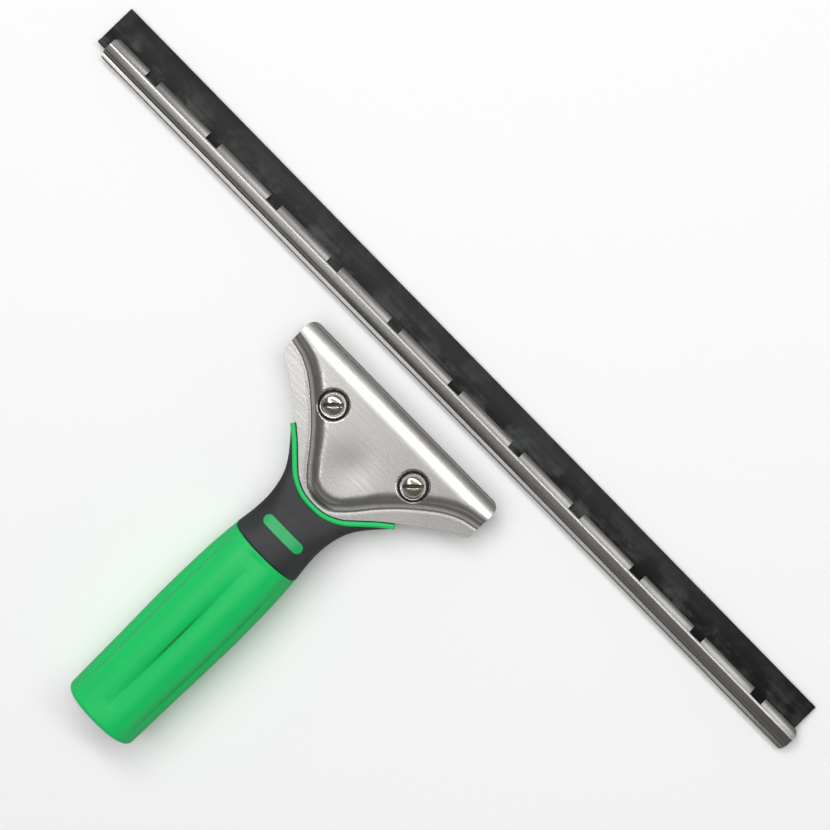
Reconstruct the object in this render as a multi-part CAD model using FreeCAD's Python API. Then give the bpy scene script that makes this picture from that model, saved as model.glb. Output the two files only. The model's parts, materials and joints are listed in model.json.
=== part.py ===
"""Window cleaning squeegee: a clamp-head handle with its blade channel drawn out of the clamp.

Handle frame, used while modelling: X along the blade, Y forwards with 0 at the clamp's front edge, Z up
with 0 on the table. Head frame: the same X, then v forwards and w upwards in the clamp's own plane,
which leans forwards by HEAD_TILT. Every solid is moved at the end so that the origin is at the
middle of the underside of the whole object's box.

The object lies on a table: the grip on its belly, the lower jaw on its front roll, and the channel on
its chamber and on the edge of its rubber. The channel lies where it comes to rest when it is drawn
straight out of the clamp.
"""
import math
import os

import FreeCAD
import Part
from FreeCAD import Vector

# ---- blade channel: a folded steel strip, section in (s, w) with s forwards from its back edge ----
CHANNEL_LENGTH = 398.0
CHANNEL_OFFSET_X = 6.5          # its middle, from the handle's axis
STRIP_THICKNESS = 0.6
TAIL_LENGTH = 2.2               # the hairpin fold at the back
TAIL_HALF = 0.95
CHAMBER_HALF = 3.3              # half the height over the rubber's bead
CHAMBER_FRONT = 6.6             # where the chamber ends and the lips start
CHAMBER_CORNER = 0.6
LIP_END = 10.8
LIP_END_HALF = 2.1
NOTCH_COUNT = 11
NOTCH_PITCH = 35.3
NOTCH_WIDTH = 6.4
NOTCH_DEPTH = 3.3
CHANNEL_END_CHAMFER = 1.6

# ---- rubber ----
RUBBER_LENGTH = 400.0
RUBBER_SHIFT_X = -3.5           # its middle, from the channel's middle
RUBBER_CLEARANCE = 0.1
BEAD_LENGTH = 2.8
BEAD_WAIST_HALF = 1.25
BEAD_WAIST_LENGTH = 0.9
BLADE_ROOT_HALF = 1.5
BLADE_TIP_HALF = 0.95
BLADE_TIP = 23.1                # the wiping edge, from the channel's back edge

# ---- jaws: two pressed plates ----
PLATE = 1.2
JAW_HALF_WIDTH = 53.9
PLATEAU_HALF = 7.15             # outer face from the clamp's middle plane, when clamped
ROLL_DEPTH = 10.5               # how far behind the front edge the plateau starts
ROLL_SLOPE = math.radians(18)
NOSE_SLOPE = math.radians(80)
CHANNEL_CLEARANCE = 0.3         # between each lip and the channel when clamped
FRONT_CORNER_RADIUS = 4.0
WALL_RUN = 3.0                  # plan width of the sloping wall round the plateau
WALL_INSET_SHARE = 0.45         # how far the wall's inner face stands in, as a share of the plate
FLANGE_TOP = 4.2
FLANGE_FRONT = -8.0
JAW_OPEN_AT_REST = 1.0          # how far the loose upper jaw stands above its clamped place

# Plan curves of the right half, from the side to the middle, in (x, v).
FLANGE_EDGE = [(54.0, -18.0), (47.8, -21.6), (40.9, -26.0), (34.1, -31.0), (28.5, -35.4),
               (23.0, -39.9), (18.0, -44.6), (12.4, -49.6), (6.4, -52.5), (0.0, -53.2)]
WALL_FOOT = [(53.9, -12.6), (46.5, -14.4), (40.0, -17.6), (34.0, -22.0), (26.0, -29.0),
             (19.2, -36.2), (12.3, -44.7), (6.6, -50.0), (0.0, -51.7)]

# ---- clamp screws and nuts ----
SCREW_SPACING = 46.4
SCREW_V = -19.4
SCREW_RADIUS = 2.5
SCREW_HEAD_RADIUS = 4.4
SCREW_HEAD_HEIGHT = 2.4
SCREW_SLOT_WIDTH = 1.2
SCREW_SLOT_DEPTH = 1.2
SCREW_SLOT_TURN = 45.0          # degrees from X
THREAD_CLEARANCE = 0.05
HEAD_SEAT_GAP = 0.02
HOLE_CLEARANCE = 0.3            # plate holes
CORE_HOLE_CLEARANCE = 0.4
DIMPLE_TOP_RADIUS = 6.3
DIMPLE_FLOOR_RADIUS = 4.9
DIMPLE_DEPTH = 2.0
NUT_ACROSS_FLATS = 8.0
NUT_HEIGHT = 4.0
NUT_CLEARANCE = 0.15

# ---- handle core ----
MOUTH_DEPTH = 6.6               # from the clamp's front edge to the core's front face
FORK_CLEARANCE = 0.1            # between the fork and each flange
FORK_HALF = FLANGE_TOP - PLATE - FORK_CLEARANCE
FORK_INSET = 1.0
INSERT_TOP = 5.4
INSERT_FRONT_HALF = 5.1
INSERT_INSET = 6.4              # from the wall's foot
INSERT_STEP_V = -11.5
DIMPLE_ROOM = 0.5
TRIM_GAP = 0.4
TRIM_WIDTH = 2.2
TRIM_TOP = 5.3
TRIM_ENDS = (29.4, -35.9)       # where the trim and the arms stop, square to the flange's edge
TRIM_END_SLOPE = 38.2           # degrees from X
# Neck sections from the arms to the collar: Y, half width, half height, height of the middle, and the
# section's power, where 2 is an ellipse and more is squarer.
NECK_SECTIONS = [(-33.0, 33.6, 4.7, 10.5, 5.0), (-38.0, 28.7, 4.8, 11.2, 5.0), (-42.6, 24.6, 5.0, 11.9, 4.6),
                 (-49.4, 19.5, 5.6, 12.9, 4.0), (-55.0, 17.1, 6.8, 13.7, 3.2), (-61.0, 15.9, 8.8, 14.5, 2.7),
                 (-66.5, 15.6, 10.6, 15.2, 2.4), (-73.0, 16.0, 12.4, 15.9, 2.3),
                 (-79.6, 16.9, 13.8, 16.5, 2.3)]
NECK_END_CHAMFER = 0.8

# ---- grip ----
GRIP_AXIS_Z = 16.5
COLLAR_Y = -80.4
GRIP_LENGTH = 98.4
SLEEVE_WALL = 2.4
# Sleeve sections: distance behind the collar, half width, half height.
SLEEVE_SECTIONS = [(0.0, 16.9, 14.0), (15.0, 18.0, 15.5), (40.0, 18.5, 16.47), (70.0, 18.0, 16.2),
                   (GRIP_LENGTH, 17.6, 15.6)]
SLEEVE_END_ROUND = 2.0
SLEEVE_POWER = 2.3
SECTION_POINTS = 24
SHIFT_STEPS = 2                 # points along a shifted curve for each point of the curve
SOCKET_RADIUS = 9.5
SOCKET_LENGTH = 60.0
SOCKET_CHAMFER = 1.0

# ---- inlay on the neck ----
INLAY_V = -70.6
INLAY_LENGTH = 20.9
INLAY_WIDTH = 4.8
INLAY_PROUD = 0.25
INLAY_DEPTH = 1.2
INLAY_GAP = 0.12

OUT = "parts"
FAR = 100.0

# ---- worked out from the sizes above ----
# The channel lies on its chamber's front corner and on its rubber's edge.
HEAD_TILT = math.atan2(CHAMBER_HALF - BLADE_TIP_HALF, BLADE_TIP - CHAMBER_FRONT)
LIP_HALF = CHAMBER_HALF + CHANNEL_CLEARANCE
# Radii of the roll and the nose, so that the jaw falls from the plateau to the lip in ROLL_DEPTH.
_a, _b = math.sin(ROLL_SLOPE), math.sin(NOSE_SLOPE) - math.sin(ROLL_SLOPE)
_c, _d = 1 - math.cos(ROLL_SLOPE), math.cos(ROLL_SLOPE) - math.cos(NOSE_SLOPE)
_fall = PLATEAU_HALF - LIP_HALF
ROLL_RADIUS = (ROLL_DEPTH * _d - _b * _fall) / (_a * _d - _b * _c)
NOSE_RADIUS = (ROLL_DEPTH - _a * ROLL_RADIUS) / _b
# Height of the clamp's middle plane at its front edge, with the lower jaw's roll on the table.
MOUTH_Z = (PLATEAU_HALF * math.cos(HEAD_TILT) - ROLL_DEPTH * math.sin(HEAD_TILT)
           + ROLL_RADIUS * (1 - math.cos(HEAD_TILT)))
# How far in front of the clamp the drawn-out channel touches the table.
CHANNEL_V = (MOUTH_Z - CHAMBER_HALF * math.cos(HEAD_TILT)) / math.sin(HEAD_TILT) - CHAMBER_FRONT
GRIP_END_Y = COLLAR_Y - GRIP_LENGTH
RUBBER_X = CHANNEL_OFFSET_X + RUBBER_SHIFT_X
BOX_X = (min(RUBBER_X - RUBBER_LENGTH / 2, CHANNEL_OFFSET_X - CHANNEL_LENGTH / 2),
         max(RUBBER_X + RUBBER_LENGTH / 2, CHANNEL_OFFSET_X + CHANNEL_LENGTH / 2))
TIP_Y = ((CHANNEL_V + BLADE_TIP) * math.cos(HEAD_TILT) + BLADE_TIP_HALF * math.sin(HEAD_TILT))
ORIGIN = Vector(sum(BOX_X) / 2, (GRIP_END_Y + TIP_Y) / 2, 0)


# ---- helpers ----
def polygon(points, axis):
    """A face with corners given in the plane across axis: (y, z) for "x", (x, y) for "z"."""
    corners = [Vector(0, a, b) if axis == "x" else Vector(a, b, 0) for a, b in points]
    return Part.Face(Part.makePolygon(corners + corners[:1]))


def arc(a, b, c):
    return Part.Arc(a, b, c).toShape()


def spline(points):
    curve = Part.BSplineCurve()
    curve.interpolate(points)
    return curve.toShape()


def prism(face, low, high):
    """A face in the plan, at height 0, extruded between two heights."""
    moved = face.copy()
    moved.translate(Vector(0, 0, low))
    return moved.extrude(Vector(0, 0, high - low))


def cylinder(x, v, radius, low, high):
    return Part.makeCylinder(radius, high - low, Vector(x, v, low))


def cone(x, v, low_radius, high_radius, low, high):
    return Part.makeCone(low_radius, high_radius, high - low, Vector(x, v, low))


def mirrored_down(shape):
    return shape.mirror(Vector(0, 0, 0), Vector(0, 0, 1))


def lifted(shape, height):
    moved = shape.copy()
    moved.translate(Vector(0, 0, height))
    return moved


def shifted_curve(points, distance, side=None):
    """Half a plan curve moved outwards by distance along its normals; side fixes the first point's x."""
    both = [Vector(x, v, 0) for x, v in points] + [Vector(-x, v, 0) for x, v in points[-2::-1]]
    curve = Part.BSplineCurve()
    curve.interpolate(both)
    first, middle = curve.FirstParameter, (curve.FirstParameter + curve.LastParameter) / 2
    steps = SHIFT_STEPS * (len(points) - 1)
    moved = []
    for i in range(steps):
        u = first + (middle - first) * i / steps
        at, along = curve.value(u), curve.tangent(u)[0]
        moved.append((at.x - along.y * distance, at.y + along.x * distance))
    moved.append((0.0, points[-1][1] - distance))
    if side is not None:
        moved[0] = (side, moved[0][1])
    return moved


def plan_wire(half_curve, front_v, height=0.0):
    """A closed outline: a straight front, two straight sides, and the half curve with its mirror image."""
    right = [Vector(x, v, height) for x, v in half_curve]
    left = [Vector(-x, v, height) for x, v in half_curve[-2::-1]]
    side = right[0].x
    a, b = Vector(side, front_v, height), Vector(-side, front_v, height)
    return Part.Wire([Part.makeLine(a, right[0]), spline(right + left), Part.makeLine(left[-1], b),
                      Part.makeLine(b, a)])


def plan_face(half_curve, front_v):
    return Part.Face(plan_wire(half_curve, front_v))


def head_to_row(shape):
    """From the head frame to the row frame."""
    moved = shape.copy()
    moved.rotate(Vector(0, 0, 0), Vector(1, 0, 0), -math.degrees(HEAD_TILT))
    moved.translate(Vector(0, 0, MOUTH_Z) - ORIGIN)
    return moved


def handle_to_row(shape):
    moved = shape.copy()
    moved.translate(ORIGIN * -1)
    return moved


def handle_to_head(shape):
    moved = shape.copy()
    moved.translate(Vector(0, 0, -MOUTH_Z))
    moved.rotate(Vector(0, 0, 0), Vector(1, 0, 0), math.degrees(HEAD_TILT))
    return moved


def one_solid(shape):
    """The largest solid of a boolean's result, with split faces joined again."""
    solids = sorted(shape.removeSplitter().Solids, key=lambda s: s.Volume)
    return solids[-1]


# ---- blade channel ----
def channel_half_points():
    """Outer and inner corner points of the strip's upper half, from the lip's end to the tail."""
    inner_back = TAIL_LENGTH + STRIP_THICKNESS
    outer = [(LIP_END, LIP_END_HALF), (CHAMBER_FRONT, CHAMBER_HALF),
             (TAIL_LENGTH + CHAMBER_CORNER, CHAMBER_HALF), (TAIL_LENGTH, CHAMBER_HALF - CHAMBER_CORNER),
             (TAIL_LENGTH, TAIL_HALF), (TAIL_HALF, TAIL_HALF)]
    chamber_in, tail_in = CHAMBER_HALF - STRIP_THICKNESS, TAIL_HALF - STRIP_THICKNESS
    inner = [(LIP_END, LIP_END_HALF - STRIP_THICKNESS), (CHAMBER_FRONT, chamber_in),
             (inner_back, chamber_in), (inner_back, tail_in), (TAIL_HALF, tail_in)]
    return outer, inner


def strip_section():
    """The folded strip's closed outline, across X."""
    outer, inner = channel_half_points()

    def at(p, sign=1):
        return Vector(0, p[0], sign * p[1])

    def chain(points, sign):
        return [Part.makeLine(at(p, sign), at(q, sign)) for p, q in zip(points, points[1:])]

    tail_in = TAIL_HALF - STRIP_THICKNESS
    edges = chain(outer, 1)
    edges.append(arc(at(outer[-1]), Vector(0, 0, 0), at(outer[-1], -1)))
    edges += chain(outer[::-1], -1)
    edges.append(Part.makeLine(at(outer[0], -1), at(inner[0], -1)))
    edges += chain(inner, -1)
    edges.append(arc(at(inner[-1], -1), Vector(0, TAIL_HALF - tail_in, 0), at(inner[-1])))
    edges += chain(inner[::-1], 1)
    edges.append(Part.makeLine(at(inner[0]), at(outer[0])))
    return Part.Face(Part.Wire(Part.__sortEdges__(edges)))


def steel_channel():
    channel = strip_section().extrude(Vector(CHANNEL_LENGTH, 0, 0))
    channel.translate(Vector(CHANNEL_OFFSET_X - CHANNEL_LENGTH / 2, 0, 0))
    cutters = []
    for i in range(NOTCH_COUNT):
        x = CHANNEL_OFFSET_X + (i - (NOTCH_COUNT - 1) / 2) * NOTCH_PITCH
        cutters.append(Part.makeBox(NOTCH_WIDTH, NOTCH_DEPTH + 1, FAR,
                                    Vector(x - NOTCH_WIDTH / 2, LIP_END - NOTCH_DEPTH, -FAR / 2)))
    for sign in (-1, 1):
        end = CHANNEL_OFFSET_X + sign * CHANNEL_LENGTH / 2
        inside = end - sign * CHANNEL_END_CHAMFER
        for edge, back in ((LIP_END, LIP_END - CHANNEL_END_CHAMFER), (0.0, CHANNEL_END_CHAMFER)):
            corner = polygon([(end + sign, edge), (inside, edge), (end, back), (end + sign, back)], "z")
            beyond = polygon([(end + sign, edge), (inside, edge), (inside, edge + (edge > 0) * 2 - 1),
                              (end + sign, edge + (edge > 0) * 2 - 1)], "z")
            cutters += [prism(corner, -FAR, FAR), prism(beyond, -FAR, FAR)]
    channel = channel.cut(Part.makeCompound(cutters))
    channel.translate(Vector(0, CHANNEL_V, 0))
    return head_to_row(one_solid(channel))


def rubber_blade():
    back = TAIL_LENGTH + STRIP_THICKNESS + RUBBER_CLEARANCE
    bead_half = CHAMBER_HALF - STRIP_THICKNESS - RUBBER_CLEARANCE
    bead_end = back + BEAD_LENGTH
    blade_start = bead_end + BEAD_WAIST_LENGTH
    upper = [(back, bead_half), (bead_end, bead_half), (bead_end, BEAD_WAIST_HALF),
             (blade_start, BEAD_WAIST_HALF), (blade_start, BLADE_ROOT_HALF), (BLADE_TIP, BLADE_TIP_HALF)]
    section = polygon(upper + [(s, -w) for s, w in upper[::-1]], "x")
    rubber = section.extrude(Vector(RUBBER_LENGTH, 0, 0))
    rubber.translate(Vector(RUBBER_X - RUBBER_LENGTH / 2, CHANNEL_V, 0))
    return head_to_row(rubber)


# ---- jaws ----
def roll_points(inset):
    """Points on the jaw's front profile, moved inwards by inset: nose end, nose middle, where the nose
    meets the roll, roll middle, plateau's front."""
    roll, nose = ROLL_RADIUS - inset, NOSE_RADIUS - inset
    roll_centre = (-ROLL_DEPTH, PLATEAU_HALF - ROLL_RADIUS)
    shift = ROLL_RADIUS - NOSE_RADIUS
    nose_centre = (roll_centre[0] + shift * math.sin(ROLL_SLOPE),
                   roll_centre[1] + shift * math.cos(ROLL_SLOPE))

    def on(centre, radius, slope):
        return Vector(0, centre[0] + radius * math.sin(slope), centre[1] + radius * math.cos(slope))

    return [on(nose_centre, nose, NOSE_SLOPE), on(nose_centre, nose, (NOSE_SLOPE + ROLL_SLOPE) / 2),
            on(nose_centre, nose, ROLL_SLOPE), on(roll_centre, roll, ROLL_SLOPE / 2),
            on(roll_centre, roll, 0)]


def under_roll(inset, floor, half_width):
    """The space under the front profile, moved inwards by inset, down to floor."""
    tip, nose_mid, join, roll_mid, plateau = roll_points(inset)
    back = Vector(0, -FAR, plateau.z)
    low_back = Vector(0, -FAR, floor)
    low_front = Vector(0, tip.y, floor)
    edges = [arc(tip, nose_mid, join), arc(join, roll_mid, plateau), Part.makeLine(plateau, back),
             Part.makeLine(back, low_back), Part.makeLine(low_back, low_front), Part.makeLine(low_front, tip)]
    face = Part.Face(Part.Wire(edges))
    face.translate(Vector(-half_width, 0, 0))
    return face.extrude(Vector(2 * half_width, 0, 0))


def sloping_block(inset, drop, side):
    """The block inside the wall round the plateau, made smaller by inset and lowered by drop."""
    top, foot = PLATEAU_HALF - drop, FLANGE_TOP - PLATE - 1.0
    run = WALL_RUN * (PLATEAU_HALF - drop - foot) / (PLATEAU_HALF - FLANGE_TOP)
    start = shifted_curve(WALL_FOOT, -inset, side)
    wide = shifted_curve(start, run * (FLANGE_TOP - drop - foot) / (top - foot), side)
    narrow = shifted_curve(start, run * (FLANGE_TOP - drop - foot) / (top - foot) - run, side)
    return Part.makeLoft([plan_wire(wide, 2.0, foot), plan_wire(narrow, 2.0, top)], True, True)


def rounded_front(half_width):
    """The plan of a plate with rounded front corners, far enough back to hold the whole jaw."""
    r = FRONT_CORNER_RADIUS
    k = r * (1 - math.sqrt(0.5))
    a, b = Vector(half_width, -FAR, 0), Vector(half_width, -r, 0)
    c, d = Vector(half_width - r, 0, 0), Vector(-half_width + r, 0, 0)
    e, f = Vector(-half_width, -r, 0), Vector(-half_width, -FAR, 0)
    edges = [Part.makeLine(a, b), arc(b, Vector(half_width - k, -k, 0), c), Part.makeLine(c, d),
             arc(d, Vector(-half_width + k, -k, 0), e), Part.makeLine(e, f), Part.makeLine(f, a)]
    return Part.Face(Part.Wire(edges))


def screw_places():
    return {"left": -SCREW_SPACING / 2, "right": SCREW_SPACING / 2}


def jaw_bulk():
    """All that lies under one plate's outer face, in its clamped place above the middle plane."""
    wide = FLANGE_EDGE[0][0]
    raised = under_roll(0.0, FLANGE_TOP - PLATE, wide).common(sloping_block(0.0, 0.0, wide))
    flange = prism(plan_face(FLANGE_EDGE, FLANGE_FRONT), FLANGE_TOP - PLATE, FLANGE_TOP)
    bulk = raised.common(prism(plan_face(FLANGE_EDGE, 2.0), 0, FAR)).fuse(flange)
    mouth = Part.makeBox(2 * FAR, FAR, LIP_HALF, Vector(-FAR, FLANGE_FRONT, 0))
    return bulk.common(prism(rounded_front(wide), 0, FAR)).cut(mouth)


def jaw_plate(bulk):
    """The pressed plate, without its screw holes."""
    hollow = under_roll(PLATE, FLANGE_TOP - PLATE - 0.5, FAR)
    hollow = hollow.common(sloping_block(PLATE * WALL_INSET_SHARE, PLATE, FAR / 1.5))
    return one_solid(bulk.cut(hollow))


def upper_jaw():
    bulk = jaw_bulk()
    jaw = jaw_plate(bulk)
    for x in screw_places().values():
        floor = PLATEAU_HALF - DIMPLE_DEPTH
        pressed = cone(x, SCREW_V, DIMPLE_FLOOR_RADIUS + PLATE, DIMPLE_TOP_RADIUS + PLATE, floor - PLATE,
                       PLATEAU_HALF)
        jaw = jaw.fuse(pressed.common(bulk))
        jaw = jaw.cut(cone(x, SCREW_V, DIMPLE_FLOOR_RADIUS, DIMPLE_TOP_RADIUS, floor, PLATEAU_HALF + 0.01))
        jaw = jaw.cut(cylinder(x, SCREW_V, SCREW_RADIUS + HOLE_CLEARANCE, 0, FAR))
    return head_to_row(lifted(one_solid(jaw), JAW_OPEN_AT_REST))


def lower_jaw():
    jaw = mirrored_down(jaw_plate(jaw_bulk()))
    for x in screw_places().values():
        jaw = jaw.cut(cylinder(x, SCREW_V, SCREW_RADIUS + HOLE_CLEARANCE, -FAR, 0))
    return head_to_row(one_solid(jaw))


# ---- screws and nuts ----
def clamp_screw(x):
    seat = PLATEAU_HALF - DIMPLE_DEPTH + HEAD_SEAT_GAP
    crown = 0.7
    rim = seat + SCREW_HEAD_HEIGHT - crown
    r = SCREW_HEAD_RADIUS
    profile = Part.Wire([
        Part.makeLine(Vector(0, 0, seat), Vector(r, 0, seat)),
        Part.makeLine(Vector(r, 0, seat), Vector(r, 0, rim)),
        arc(Vector(r, 0, rim), Vector(r * 0.55, 0, rim + crown * 0.72), Vector(0, 0, rim + crown)),
        Part.makeLine(Vector(0, 0, rim + crown), Vector(0, 0, seat))])
    head = Part.Face(profile).revolve(Vector(0, 0, 0), Vector(0, 0, 1), 360)
    slot = Part.makeBox(2 * r + 2, SCREW_SLOT_WIDTH, FAR,
                        Vector(-r - 1, -SCREW_SLOT_WIDTH / 2, rim + crown - SCREW_SLOT_DEPTH))
    slot.rotate(Vector(0, 0, 0), Vector(0, 0, 1), SCREW_SLOT_TURN)
    low = -(PLATEAU_HALF - PLATE)
    screw = head.cut(slot).fuse(cylinder(0, 0, SCREW_RADIUS, low, seat + 0.01))
    screw.translate(Vector(x, SCREW_V, 0))
    return head_to_row(lifted(one_solid(screw), JAW_OPEN_AT_REST))


def hexagon(across_flats):
    corner = across_flats / math.sqrt(3)
    return polygon([(corner * math.cos(math.radians(60 * i)), corner * math.sin(math.radians(60 * i)))
                    for i in range(6)], "z")


def clamp_nut(x):
    low = -(PLATEAU_HALF - PLATE)
    nut = prism(hexagon(NUT_ACROSS_FLATS), low, low + NUT_HEIGHT)
    nut = nut.cut(cylinder(0, 0, SCREW_RADIUS + THREAD_CLEARANCE, -FAR, FAR))
    nut.translate(Vector(x, SCREW_V, 0))
    return head_to_row(nut)


# ---- handle core, trim, inlay and grip ----
def section_wire(y, half_width, half_height, middle_z, power):
    """A closed oval across Y: a superellipse through SECTION_POINTS points."""
    points = []
    for i in range(SECTION_POINTS):
        t = 2 * math.pi * i / SECTION_POINTS
        c, s = math.cos(t), math.sin(t)
        points.append(Vector(half_width * math.copysign(abs(c) ** (2 / power), c), y,
                             middle_z + half_height * math.copysign(abs(s) ** (2 / power), s)))
    curve = Part.BSplineCurve()
    curve.interpolate(points, PeriodicFlag=True)
    return Part.Wire([curve.toShape()])


def oval_loft(sections, ruled=False):
    return Part.makeLoft([section_wire(*s) for s in sections], True, ruled)


def neck(grow=0.0):
    """The neck's loft, with its height grown by grow, in the handle frame."""
    sections = [(y, w, h + grow, z, power) for y, w, h, z, power in NECK_SECTIONS]
    y, w, h, z, power = sections[-1]
    small = NECK_END_CHAMFER * 0.6
    end = oval_loft([sections[-1], (y - NECK_END_CHAMFER, w - small, h - small, z, power)], True)
    return oval_loft(sections).fuse(end)


def grip_sections(wall):
    return [(COLLAR_Y - s, w - wall, h - wall, GRIP_AXIS_Z, SLEEVE_POWER) for s, w, h in SLEEVE_SECTIONS]


def grip_outer():
    """The grip's whole outer shape, with its rounded end."""
    sections = grip_sections(0.0)
    _, w, h, z, power = sections[-1]
    envelope = [(COLLAR_Y, w + 9, h + 9, z, power)]
    for turn in (0, 25, 50, 70, 90):
        inset = SLEEVE_END_ROUND * (1 - math.cos(math.radians(turn)))
        y = GRIP_END_Y + SLEEVE_END_ROUND * (1 - math.sin(math.radians(turn)))
        envelope.append((y, w - inset, h - inset, z, power))
    return oval_loft(sections).common(oval_loft(envelope, True))


def stem():
    """The core's tube inside the sleeve, from inside the neck to the grip's end."""
    sections = grip_sections(SLEEVE_WALL)
    root = oval_loft([(COLLAR_Y + 6.0, *sections[0][1:]), sections[0]], True)
    return oval_loft(sections).fuse(root)


def past_trim_ends():
    """Everything past the ends of the trim and of the arms, on both sides, in the head frame."""
    x, v = TRIM_ENDS
    beyond = Part.makeBox(FAR, 2 * FAR, 2 * FAR, Vector(0, -FAR, -FAR))
    beyond.rotate(Vector(0, 0, 0), Vector(0, 0, 1), TRIM_END_SLOPE)
    beyond.translate(Vector(x, v, 0))
    beyond = beyond.common(Part.makeBox(FAR, 2 * FAR, 2 * FAR, Vector(x / 2, -FAR, -FAR)))
    return beyond.fuse(beyond.mirror(Vector(0, 0, 0), Vector(1, 0, 0)))


def pocket(distance):
    """Plan of the flange with room round it."""
    return plan_face(shifted_curve(FLANGE_EDGE, distance), FAR / 2)


def insert():
    """The block that fills the hollow between the two plateaus."""
    side = JAW_HALF_WIDTH - 10.0
    plan = plan_face(shifted_curve(WALL_FOOT, -INSERT_INSET, side), -MOUTH_DEPTH)
    block = prism(plan, -(PLATEAU_HALF - PLATE), INSERT_TOP)
    front = Part.makeBox(2 * FAR, FAR, FAR, Vector(-FAR, INSERT_STEP_V, -INSERT_FRONT_HALF - FAR))
    return block.cut(front)


def inlay_prism(gap, low, high):
    """The inlay's plan, a bar with round ends, in the head frame."""
    r, half = INLAY_WIDTH / 2 + gap, (INLAY_LENGTH - INLAY_WIDTH) / 2
    a, b = Vector(-half, INLAY_V - r, low), Vector(half, INLAY_V - r, low)
    c, d = Vector(half, INLAY_V + r, low), Vector(-half, INLAY_V + r, low)
    edges = [Part.makeLine(a, b), arc(b, Vector(half + r, INLAY_V, low), c), Part.makeLine(c, d),
             arc(d, Vector(-half - r, INLAY_V, low), a)]
    return Part.Face(Part.Wire(edges)).extrude(Vector(0, 0, high - low))


def handle_core():
    room = prism(pocket(TRIM_GAP + TRIM_WIDTH), FORK_HALF, FAR)
    core = handle_to_head(neck()).cut(room).cut(mirrored_down(room)).cut(past_trim_ends())
    between = prism(plan_face(shifted_curve(FLANGE_EDGE, -FORK_INSET), -MOUTH_DEPTH), -FORK_HALF, FORK_HALF)
    core = core.fuse(between).fuse(insert())
    for x in screw_places().values():
        core = core.cut(cylinder(x, SCREW_V, SCREW_RADIUS + CORE_HOLE_CLEARANCE, -FAR, FAR))
        under = PLATEAU_HALF - DIMPLE_DEPTH - PLATE - DIMPLE_ROOM
        core = core.cut(cylinder(x, SCREW_V, DIMPLE_TOP_RADIUS + PLATE + DIMPLE_ROOM, under, FAR))
        nut_room = prism(hexagon(NUT_ACROSS_FLATS + 2 * NUT_CLEARANCE), -FAR,
                         -(PLATEAU_HALF - PLATE) + NUT_HEIGHT + NUT_CLEARANCE)
        nut_room.translate(Vector(x, SCREW_V, 0))
        core = core.cut(nut_room)
    seat = inlay_prism(INLAY_GAP, 0, FAR).cut(handle_to_head(neck(-INLAY_DEPTH)))
    core = core.cut(seat)
    core = handle_to_head(stem()).fuse(core)
    mouth, inwards = Vector(0, GRIP_END_Y, GRIP_AXIS_Z), Vector(0, 1, 0)
    socket = Part.makeCylinder(SOCKET_RADIUS, SOCKET_LENGTH, mouth, inwards)
    lead = Part.makeCone(SOCKET_RADIUS + SOCKET_CHAMFER, SOCKET_RADIUS, SOCKET_CHAMFER, mouth, inwards)
    core = core.cut(handle_to_head(socket.fuse(lead)))
    return head_to_row(one_solid(core))


def grip_sleeve():
    whole = grip_outer()
    inside = stem()
    ahead = Part.makeBox(2 * FAR, FAR, 2 * FAR, Vector(-FAR, COLLAR_Y, -FAR))
    return handle_to_row(one_solid(whole.cut(inside).cut(ahead)))


def trim_bead():
    """The soft bead between the flange and the rim, above the middle plane."""
    ring = prism(pocket(TRIM_GAP + TRIM_WIDTH), FORK_HALF, TRIM_TOP).cut(prism(pocket(TRIM_GAP), 0, FAR))
    ahead = Part.makeBox(2 * FAR, 2 * FAR, 2 * FAR, Vector(-FAR, TRIM_ENDS[1] + TRIM_WIDTH, -FAR))
    return one_solid(ring.cut(past_trim_ends()).cut(ahead))


def neck_inlay():
    bar = inlay_prism(0.0, 0, FAR).common(handle_to_head(neck(INLAY_PROUD)))
    return head_to_row(one_solid(bar.cut(handle_to_head(neck(-INLAY_DEPTH)))))


def build():
    nodes = {"steel_channel": steel_channel(), "rubber_blade": rubber_blade(), "upper_jaw": upper_jaw(),
             "lower_jaw": lower_jaw(), "handle_core": handle_core(), "grip_sleeve": grip_sleeve(),
             "trim_bead_top": head_to_row(trim_bead()),
             "trim_bead_bottom": head_to_row(mirrored_down(trim_bead())), "neck_inlay": neck_inlay()}
    for side, x in screw_places().items():
        nodes[side + "_clamp_screw"] = clamp_screw(x)
        nodes[side + "_clamp_nut"] = clamp_nut(x)
    return nodes


os.makedirs(OUT, exist_ok=True)
for name, shape in build().items():
    shape.exportStep(os.path.join(OUT, name + ".step"))
    box = shape.BoundBox
    print(name, len(shape.Solids), "solid", "valid" if shape.isValid() else "INVALID",
          round(shape.Volume, 1), [round(c, 2) for c in (box.XLength, box.YLength, box.ZLength)])
print("head tilt", round(math.degrees(HEAD_TILT), 3), "mouth height", round(MOUTH_Z, 3),
      "channel ahead", round(CHANNEL_V, 3), "roll", round(ROLL_RADIUS, 2), "nose", round(NOSE_RADIUS, 2),
      "origin", [round(c, 3) for c in ORIGIN])
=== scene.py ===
import json
import math

import bmesh
import bpy
from mathutils import Matrix, Vector


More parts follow.
